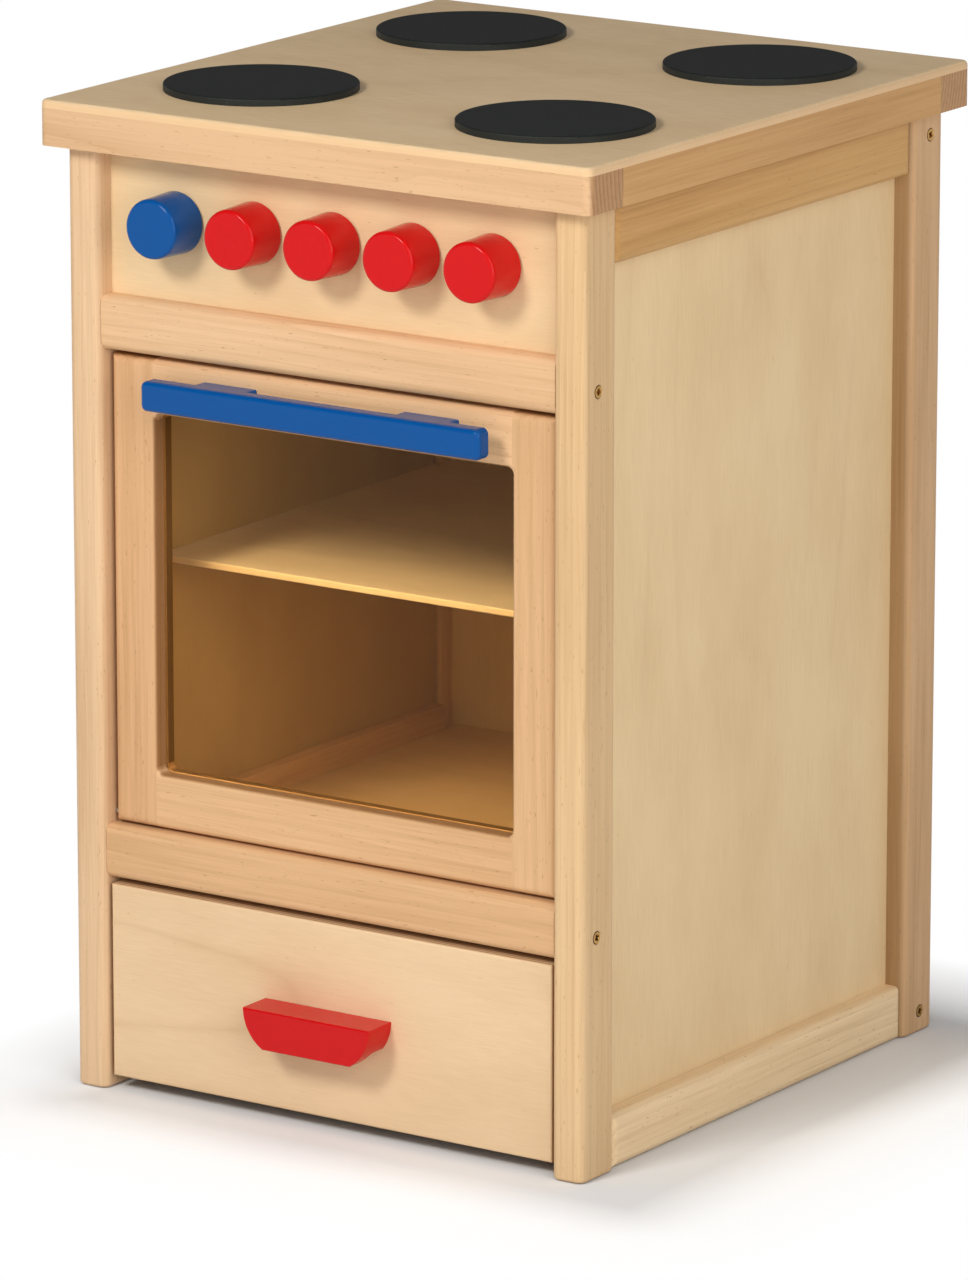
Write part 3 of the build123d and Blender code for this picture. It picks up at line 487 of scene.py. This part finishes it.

# %% [markdown]
# ## Birch plywood
#
# The sheet is made of veneers peeled off a log as it turns, like paper off a roll. The face shows
# broad, wavering contour lines far apart, small brown dashes and a faint cloudy shimmer. The edge
# shows the plies: every other one is cut across its fibres and looks darker. The contour lines are
# made here as the lines of equal height of a slow noise, stretched along the fibres, which wander in
# just that way. The faces that look into the oven are painted darker and browner as painted shade, and
# the thin sheets of the shelf and the worktop have their edges sanded pale.


# %% The recipe for a plywood sheet
def birch_ply(
    node, thick, along, pale, plies=3, lines=0.13, seed=0.0, inside=0, edge_tone=None, fuzz=0.07
):
    """Finishes one sheet. thick is the axis through it, and along that of the fibres of its faces.

    lines is how dark the contour lines are, and fuzz how dark its single fibres are. seed moves the
    figure, so that each sheet has its own. The argument after it is 1 or -1 where the face that looks
    up or down the thick axis is inside the oven; that face is painted darker and browner as painted
    shade. edge_tone is the colour of an edge that is sanded and lacquered until its plies hardly show.
    """
    low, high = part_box(node)
    made, tree = new_finish("birch_ply_" + node)
    through, axis = "XYZ".index(thick), "XYZ".index(along)
    place = add(tree, "TexCoord")
    at = {}
    for feature, stretch in (("lines", 0.20), ("clouds", 0.45), ("fibres", 0.06), ("dashes", 0.16)):
        scale = [1.0, 1.0, 1.0]
        scale[axis] = stretch
        mapping = add(
            tree, "Mapping",
            {"Vector": place.outputs["Object"], "Location": (seed, 2 * seed, 3 * seed), "Scale": scale},
        )
        at[feature] = mapping.outputs["Vector"]

    # hills 180 mm across, with a contour line at each ninth of their height
    hills = add(
        tree, "TexNoise", {"Vector": at["lines"], "Scale": 5.5, "Detail": 1.5, "Roughness": 0.45}
    )
    steps = add(tree, "Math", {0: hills.outputs["Fac"], 1: 18.0}, operation="MULTIPLY")
    slope = add(tree, "Math", {0: steps.outputs[0], 1: 1.0}, operation="PINGPONG")
    line = add(tree, "Math", {0: slope.outputs[0], 1: 7.0}, operation="POWER")
    patches = add(tree, "TexNoise", {"Vector": at["lines"], "Scale": 16.0, "Detail": 2.0})
    bold = add(
        tree, "MapRange",
        {
            "Value": patches.outputs["Fac"], "From Min": 0.35, "From Max": 0.65,
            "To Min": 0.03, "To Max": lines,
        },
    )
    drawn = add(tree, "Math", {0: line.outputs[0], 1: bold.outputs[0]}, operation="MULTIPLY")
    clouds = add(
        tree, "TexNoise", {"Vector": at["clouds"], "Scale": 22.0, "Detail": 3.0, "Roughness": 0.5}
    )
    cloudy = add(
        tree, "MapRange",
        {"Value": clouds.outputs["Fac"], "From Min": 0.35, "From Max": 0.65, "To Max": 0.18},
        clamp=False,
    )
    fibres = add(tree, "TexNoise", {"Vector": at["fibres"], "Scale": 1100.0, "Detail": 1.0})
    fine = add(
        tree, "MapRange",
        {
            "Value": fibres.outputs["Fac"], "From Min": 0.30, "From Max": 0.70,
            "To Min": -0.6 * fuzz, "To Max": fuzz,
        },
        clamp=False,
    )
    sum_1 = add(tree, "Math", {0: drawn.outputs[0], 1: cloudy.outputs[0]}, operation="ADD")
    both = {0: sum_1.outputs[0], 1: fine.outputs[0]}
    depth = add(tree, "Math", both, operation="ADD", use_clamp=True)
    light = linear(pale)
    deep = [c * k for c, k in zip(light, linear("#D4C2AA"))]
    wood = add(tree, "Mix", {0: depth.outputs[0], 6: light, 7: deep}, data_type="RGBA").outputs[2]
    # dashes under 1 mm wide and up to 6 mm long, far apart
    dashes = add(tree, "TexNoise", {"Vector": at["dashes"], "Scale": 1000.0, "Detail": 1.0})
    dash = add(
        tree, "MapRange",
        {"Value": dashes.outputs["Fac"], "From Min": 0.76, "From Max": 0.84, "To Max": 0.5},
    )
    wood = add(
        tree, "Mix", {0: dash.outputs[0], 6: wood, 7: linear("#B98450")}, data_type="RGBA"
    ).outputs[2]

    # the plies, counted from one face to the other
    ply = (high[through] - low[through]) / plies
    where = add(tree, "SeparateXYZ", {0: place.outputs["Object"]})
    deeper = add(tree, "Math", {0: where.outputs[through], 1: low[through]}, operation="SUBTRACT")
    pair = add(tree, "Math", {0: deeper.outputs[0], 1: 2 * ply}, operation="MODULO")
    crossed = add(tree, "Math", {0: pair.outputs[0], 1: ply}, operation="GREATER_THAN")
    pale_ply = linear(edge_tone) if edge_tone else [0.92 * c for c in light]
    ply_tone = add(
        tree, "Mix", {0: crossed.outputs[0], 6: pale_ply, 7: linear("#B48657")}, data_type="RGBA"
    )
    outward = add(tree, "SeparateXYZ", {0: place.outputs["Normal"]})
    # painted shade: the face inside the oven is made darker and browner
    if inside:
        hidden = add(
            tree, "MapRange",
            {"Value": outward.outputs[through], "From Min": 0.4 * inside, "From Max": 0.8 * inside},
        )
        wood = add(
            tree, "Mix", {0: hidden.outputs[0], 6: wood, 7: linear("#D4CBB6")},
            data_type="RGBA", blend_type="MULTIPLY",
        ).outputs[2]
    facing = add(tree, "Math", {0: outward.outputs[through]}, operation="ABSOLUTE")
    edge = add(
        tree, "MapRange",
        {
            "Value": facing.outputs[0], "From Min": 0.45, "From Max": 0.85,
            "To Min": 0.8, "To Max": 0.0,
        },
    )
    wood = add(
        tree, "Mix", {0: edge.outputs[0], 6: wood, 7: ply_tone.outputs[2]}, data_type="RGBA"
    ).outputs[2]

    varnish(tree, wood, fibres.outputs["Fac"], 0.2, clouds.outputs["Fac"], (0.46, 0.54))
    wear(made, node)


low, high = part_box("side_panel_right")
print("side panel:", round((high.x - low.x) / MM, 1), "mm thick")

# %% Finish every sheet
sheets = {
    # node: (axis through it, fibres along, palest colour, other settings)
    "side_panel_left": ("X", "Z", "#F1D5A9", {"seed": 1.3, "inside": 1}),
    "side_panel_right": ("X", "Z", "#F1D5A9", {"seed": 2.1, "inside": -1}),
    "back_panel": ("Y", "Z", "#EACDA3", {"seed": 3.7}),
    "control_panel": ("Y", "X", "#EDD0A6", {"seed": 4.9, "plies": 5, "lines": 0.22}),
    "oven_floor": ("Z", "X", "#DFC096", {"seed": 5.3}),
    "oven_shelf": ("Z", "X", "#FFECD4", {"seed": 6.1, "plies": 1, "edge_tone": "#F3D3AC"}),
    "worktop_sheet": (
        "Z", "X", "#F4D6AC", {"seed": 7.7, "plies": 1, "edge_tone": "#E6C095", "fuzz": 0.2}
    ),
    "drawer_bottom": ("Z", "X", "#EACDA3", {"seed": 8.3}),
    "drawer_front": ("Y", "X", "#EFD0AA", {"seed": 9.1, "plies": 9, "lines": 0.30}),
    "drawer_back": ("Y", "X", "#EBCDA6", {"seed": 10.3, "plies": 5}),
    "drawer_side_left": ("X", "Y", "#EBCDA6", {"seed": 11.9, "plies": 5}),
    "drawer_side_right": ("X", "Y", "#EBCDA6", {"seed": 12.7, "plies": 5}),
}
for node, (thick, along, pale, others) in sheets.items():
    birch_ply(node, thick, along, pale, **others)
print("plywood sheets:", len(sheets))

# %% [markdown]
# ## Coloured lacquer
#
# The knobs, the handles and the hob plates are sprayed with opaque lacquer. It hides the wood's colour
# but not quite its surface: a faint unevenness stays under the film, and it breaks up the highlights.
# The knobs and handles are satin, with a clear narrow highlight on each rounded edge. The black plates
# are duller, with a few specks of dust.


# %% The recipe for lacquer
def lacquer(name, chart, roughness, ripple, shine=0.2, dust=0.0):
    """Opaque lacquer of one colour, sprayed over wood.

    ripple is the depth of its unevenness in mm, shine how strongly it mirrors, and dust the share of
    pale specks on it.
    """
    made, tree = new_finish(name)
    place = add(tree, "TexCoord")
    # unevenness about 3 mm from crest to crest, and a grit of 0.6 mm
    waves = add(tree, "TexNoise", {"Vector": place.outputs["Object"], "Scale": 330.0, "Detail": 2.0})
    grit = add(tree, "TexNoise", {"Vector": place.outputs["Object"], "Scale": 1700.0, "Detail": 1.0})
    tone = add(
        tree, "MapRange",
        {
            "Value": waves.outputs["Fac"], "From Min": 0.3, "From Max": 0.7,
            "To Min": 0.98, "To Max": 1.02,
        },
    )
    colour = add(
        tree, "VectorMath", {0: linear(chart)[:3], "Scale": tone.outputs[0]}, operation="SCALE"
    ).outputs[0]
    if dust:
        speck = add(
            tree, "MapRange",
            {"Value": grit.outputs["Fac"], "From Min": 0.70, "From Max": 0.80, "To Max": dust},
        )
        colour = add(
            tree, "Mix", {0: speck.outputs[0], 6: colour, 7: linear("#8F8D86")}, data_type="RGBA"
        ).outputs[2]
    uneven = add(tree, "Math", {0: waves.outputs["Fac"], 1: grit.outputs["Fac"]}, operation="ADD")
    felt = add(tree, "Bump", {"Strength": 0.3, "Distance": ripple * MM, "Height": uneven.outputs[0]})
    dull = add(
        tree, "MapRange",
        {
            "Value": grit.outputs["Fac"], "From Min": 0.3, "From Max": 0.7,
            "To Min": roughness - 0.04, "To Max": roughness + 0.05,
        },
    )
    surface = add(
        tree, "BsdfPrincipled",
        {
            "Base Color": colour, "Roughness": dull.outputs[0], "IOR": 1.5,
            "Specular IOR Level": shine, "Normal": felt.outputs[0],
        },
    )
    add(tree, "OutputMaterial", {"Surface": surface.outputs[0]})
    return made


print("from crest to crest:", round(1 / 330 / MM, 1), "mm")

# %% Spray the knobs, handles and plates
black = lacquer("black_lacquer", "#171C1A", 0.60, 0.05, shine=0.4, dust=0.45)
for row in ("front", "rear"):
    wear(black, f"hob_plate_{row}_left", f"hob_plate_{row}_right")
blue = lacquer("blue_lacquer", "#004F98", 0.16, 0.012)
wear(blue, "oven_knob", "door_handle", "door_handle_blocks")
red = lacquer("red_lacquer", "#CE0D11", 0.16, 0.012)
wear(red, "drawer_handle", *(f"hob_knob_{number}" for number in (1, 2, 3, 4)))
print("lacquers:", black.name, blue.name, red.name)

# %% [markdown]
# ## Smoked acrylic
#
# The pane is a 3 mm sheet of brown-tinted acrylic with polished faces. It has to do two things: bend
# and mirror light as acrylic does, and let the lamps shine into the oven. A glassy shader alone casts
# a full shadow, so rays that go to a lamp see a plain tinted film of the same colour instead.

# %% Glaze the door
made, tree = new_finish("smoked_acrylic")
place = add(tree, "TexCoord")
smears = add(tree, "TexNoise", {"Vector": place.outputs["Object"], "Scale": 22.0, "Detail": 2.0})
wiped = add(
    tree, "MapRange",
    {"Value": smears.outputs["Fac"], "From Min": 0.45, "From Max": 0.75, "To Max": 0.05},
)
tint = linear("#FAEAC7")
surface = add(
    tree, "BsdfPrincipled",
    {
        "Base Color": tint, "Roughness": wiped.outputs[0], "IOR": 1.49, "Transmission Weight": 1.0,
        "Specular Tint": linear("#615D59"),
    },
)
film = add(tree, "BsdfTransparent", {"Color": [c**0.5 for c in tint]})
ray = add(tree, "LightPath")
pane = add(
    tree, "MixShader",
    {0: ray.outputs["Is Shadow Ray"], 1: surface.outputs[0], 2: film.outputs[0]},
)
add(tree, "OutputMaterial", {"Surface": pane.outputs[0]})
wear(made, "door_pane")
print("pane tint:", [round(c, 2) for c in tint])

# %% [markdown]
# ## Steel and moulded plastic
#
# The screws are steel with a yellow zinc coat: brassy, with a slight shift towards rose from place to
# place. The hinge pins and the strike plate are bare steel, drawn and stamped. The ring of the gap
# round a driven screw is painted dark brown and matt, as painted shade in the gap. The catch is moulded
# ABS, which is warm white with a soft, fine-textured sheen.


# %% The recipe for steel
def steel(name, chart, other, roughness):
    """Metal of one colour that shifts towards another in small patches, with fine scratches."""
    made, tree = new_finish(name)
    place = add(tree, "TexCoord")
    shift = add(tree, "TexNoise", {"Vector": place.outputs["Object"], "Scale": 420.0, "Detail": 2.0})
    colour = add(
        tree, "Mix", {0: shift.outputs["Fac"], 6: linear(chart), 7: linear(other)}, data_type="RGBA"
    )
    scratch = add(tree, "TexNoise", {"Vector": place.outputs["Object"], "Scale": 3000.0, "Detail": 2.0})
    dull = add(
        tree, "MapRange",
        {
            "Value": scratch.outputs["Fac"], "From Min": 0.3, "From Max": 0.7,
            "To Min": roughness - 0.06, "To Max": roughness + 0.08,
        },
    )
    felt = add(tree, "Bump", {"Strength": 0.2, "Distance": 0.03 * MM, "Height": scratch.outputs["Fac"]})
    surface = add(
        tree, "BsdfPrincipled",
        {
            "Base Color": colour.outputs[2], "Metallic": 1.0,
            "Roughness": dull.outputs[0], "Normal": felt.outputs[0],
        },
    )
    add(tree, "OutputMaterial", {"Surface": surface.outputs[0]})
    return made


print("patches of colour:", round(1 / 420 / MM, 1), "mm")

# %% Plate the screws and the hinge
yellow_zinc = steel("yellow_zinc_steel", "#C8A052", "#A87A46", 0.24)
wear(yellow_zinc, "frame_screws", "door_handle_screws", "drawer_handle_screws", "oven_knob_screw")
wear(yellow_zinc, *(f"hob_knob_{number}_screw" for number in (1, 2, 3, 4)))
bare = steel("plain_steel", "#C4C2BD", "#B1AFAB", 0.36)
wear(bare, "hinge_pins", "strike_plate")
print("metals:", yellow_zinc.name, bare.name)

# %% Paint shade into the gaps round the screws
painted_gap_shade, tree = new_finish("painted_gap_shade")
place = add(tree, "TexCoord")
mottle = add(tree, "TexNoise", {"Vector": place.outputs["Object"], "Scale": 1500.0, "Detail": 2.0})
colour = add(
    tree, "Mix", {0: mottle.outputs["Fac"], 6: linear("#2A1809"), 7: linear("#5E3C1C")},
    data_type="RGBA",
)
surface = add(tree, "BsdfPrincipled", {"Base Color": colour.outputs[2], "Roughness": 0.8})
add(tree, "OutputMaterial", {"Surface": surface.outputs[0]})
print("shaded_gap:", painted_gap_shade.name)

# %% Mould the catch
made, tree = new_finish("moulded_abs")
place = add(tree, "TexCoord")
texture = add(tree, "TexNoise", {"Vector": place.outputs["Object"], "Scale": 2200.0, "Detail": 1.0})
felt = add(tree, "Bump", {"Strength": 0.3, "Distance": 0.04 * MM, "Height": texture.outputs["Fac"]})
shade = add(
    tree, "MapRange",
    {
        "Value": texture.outputs["Fac"], "From Min": 0.3, "From Max": 0.7,
        "To Min": 0.96, "To Max": 1.03,
    },
)
colour = add(
    tree, "VectorMath", {0: linear("#E9E3D4")[:3], "Scale": shade.outputs[0]}, operation="SCALE"
)
surface = add(
    tree, "BsdfPrincipled",
    {"Base Color": colour.outputs[0], "Roughness": 0.42, "IOR": 1.53, "Normal": felt.outputs[0]},
)
add(tree, "OutputMaterial", {"Surface": surface.outputs[0]})
wear(made, "magnet_catch")
print("catch:", made.name)

# %% [markdown]
# ## The frame screws
#
# Eight countersunk screws hold the rails, and their heads are the only fixings in sight. Each has the
# cross-shaped recess of a furniture screw, with four fine ticks between its arms, and a dark gap
# around it. A head is turned from a disc by extruding and scaling it down its length, and the recess
# is then cut with small punches, two for the cross and two for the ticks, as it is pressed in a
# factory. One screw is made, and copies of it are turned each by its own angle, because nobody drives
# eight screws home at the same angle.

# %% Turn one screw
face_radius = 3.15  # mm, the flat face of the head
bpy.ops.object.select_all(action="DESELECT")
bpy.ops.mesh.primitive_circle_add(vertices=48, radius=face_radius * MM, fill_type="NGON")
screw = bpy.context.object
screw.name = "screw_blank"
bpy.ops.object.mode_set(mode="EDIT")
bpy.ops.mesh.select_all(action="SELECT")
sections = (
    # (how far down in mm, radius in mm): edge of the head, gap round it, neck, shank, point
    (0.35, 3.4), (0.0, 4.05), (2.25, 1.8), (35.2, 1.8), (4.0, 0.15),
)
radius = face_radius
for drop, next_radius in sections:
    bpy.ops.mesh.extrude_region_move(TRANSFORM_OT_translate={"value": (0, 0, -drop * MM)})
    scale = next_radius / radius
    bpy.ops.transform.resize(value=(scale, scale, 1), center_override=(0, 0, 0))
    radius = next_radius
bpy.ops.mesh.select_all(action="SELECT")
bpy.ops.mesh.normals_make_consistent(inside=False)
bpy.ops.object.mode_set(mode="OBJECT")
print("screw blank:", [round(s / MM, 1) for s in screw.dimensions], "mm")

# %% Make the punches
cross = (5.2, 1.5, 2.1)  # length, width and depth in mm
ticks = (5.6, 0.5, 0.5)
narrowing = 0.55  # from the mouth of the recess to its bottom
punches = []
for angle, (length, width, deep) in ((0, cross), (90, cross), (45, ticks), (135, ticks)):
    bpy.ops.object.select_all(action="DESELECT")
    bpy.ops.mesh.primitive_cube_add(size=1.0, location=(0, 0, 0))
    punch = bpy.context.object
    punch.scale = (length * MM, width * MM, 2 * deep * MM)
    punch.rotation_euler = (0, 0, math.radians(angle))
    bpy.ops.object.transform_apply(location=True, rotation=True, scale=True)
    bpy.ops.object.mode_set(mode="EDIT")
    bpy.ops.mesh.select_all(action="DESELECT")
    bpy.ops.object.mode_set(mode="OBJECT")
    for face in punch.data.polygons:
        face.select = face.normal.z < -0.9
    bpy.ops.object.mode_set(mode="EDIT")
    bpy.ops.transform.resize(value=(narrowing, narrowing, 1), center_override=(0, 0, -deep * MM))
    bpy.ops.object.mode_set(mode="OBJECT")
    punches.append(punch)
print("punches:", len(punches))

# %% Punch the recess
for punch in punches:
    bpy.context.view_layer.objects.active = screw
    cut = screw.modifiers.new("recess", "BOOLEAN")
    cut.operation = "DIFFERENCE"
    cut.solver = "EXACT"
    cut.object = punch
    bpy.ops.object.modifier_apply(modifier=cut.name)
    bpy.data.objects.remove(punch)
bpy.ops.object.select_all(action="DESELECT")
screw.select_set(True)
bpy.context.view_layer.objects.active = screw
bpy.ops.object.shade_smooth_by_angle(angle=math.radians(35))
screw.data.materials.append(yellow_zinc)
screw.data.materials.append(painted_gap_shade)
# the painted gap shade is on the ring outside the head's rounded edge
for face in screw.data.polygons:
    off_axis = math.hypot(face.center.x, face.center.y)
    face.material_index = int(off_axis > 3.2 * MM and face.center.z > -0.5 * MM)
print("screw faces:", len(screw.data.polygons))

# %% Drive all eight
setback = 14 * MM  # from the front or rear face of the posts
rise = 13 * MM  # above the lower edges of the front rails
sunk = 0.12 * MM  # heads below the outer faces of the posts
outer_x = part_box("post_front_right")[1].x
front_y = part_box("post_front_right")[0].y + setback
rear_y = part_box("post_rear_right")[1].y - setback
places = [
    # (y, z, turn of the cross in degrees)
    (front_y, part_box("front_middle_rail")[0].z + rise, 20),
    (front_y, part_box("front_top_rail")[0].z + rise, 64),
    (rear_y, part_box("rear_top_rail")[0].z + 20 * MM, 38),
    (rear_y, 12 * MM, 81),  # this one from the floor
]
number = 0
for side in (1, -1):
    for y, z, turn in places:
        number += 1
        driven = screw.copy()
        driven.data = screw.data.copy()
        driven.name = f"frame_screw_{number}"
        bpy.context.scene.collection.objects.link(driven)
        bpy.ops.object.select_all(action="DESELECT")
        driven.select_set(True)
        bpy.context.view_layer.objects.active = driven
        driven.rotation_euler = (0, 0, math.radians(turn + 7 * number))
        bpy.ops.object.transform_apply(location=True, rotation=True, scale=True)
        driven.rotation_euler = (0, side * math.pi / 2, 0)
        driven.location = (side * (outer_x - sunk), y, z)
        bpy.ops.object.transform_apply(location=True, rotation=True, scale=True)
        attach(driven, "cabinet")
        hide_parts("frame_screws")
bpy.data.objects.remove(screw)
print("screws driven:", number)
